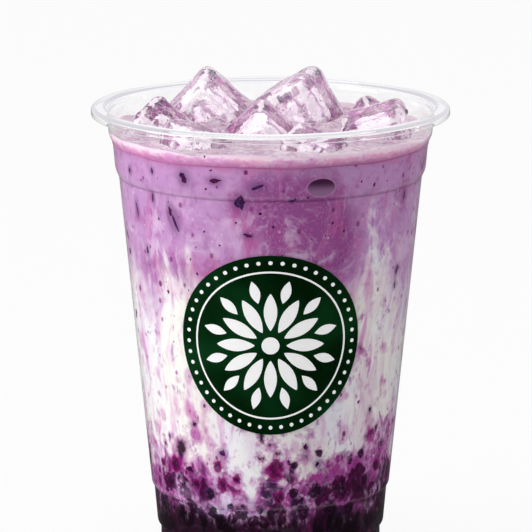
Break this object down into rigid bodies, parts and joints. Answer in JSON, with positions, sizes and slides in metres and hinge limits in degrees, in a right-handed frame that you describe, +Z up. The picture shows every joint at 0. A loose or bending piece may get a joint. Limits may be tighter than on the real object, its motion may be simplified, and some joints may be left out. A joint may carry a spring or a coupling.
{
  "type": "iced layered milk drink in a clear cold cup",
  "caption": "Iced purple yam latte in a clear tapered cold cup with a rolled rim: dark jam, milk, lilac yam milk, froth, protruding ice and a round green sticker.",
  "frame": {"origin": "centre of the cup's foot ring, on the table", "axes": "+Z up along the cup's axis; the sticker faces -Y; +X is to the right as seen from the sticker's side"},
  "size_m": [0.098, 0.098, 0.1301],
  "materials": {
    "clear_plastic": "clear, glossy",
    "sticker": "satin paper film",
    "ice": "wet, clear with frosted patches",
    "jam": "thick dark purple jam",
    "milk": "milk with lilac streaks",
    "ube": "lilac yam milk",
    "froth": "pink froth"
  },
  "bodies": {
    "root": {"cup": "clear_plastic", "sticker": "sticker", "jam": "jam", "milk": "milk", "ube": "ube", "froth": "froth", "ice_left": "ice", "ice_back_left": "ice", "ice_back_right": "ice", "ice_middle": "ice", "ice_right_back": "ice", "ice_right": "ice", "ice_front_left": "ice", "ice_front_right": "ice"}
  },
  "joints": []
}
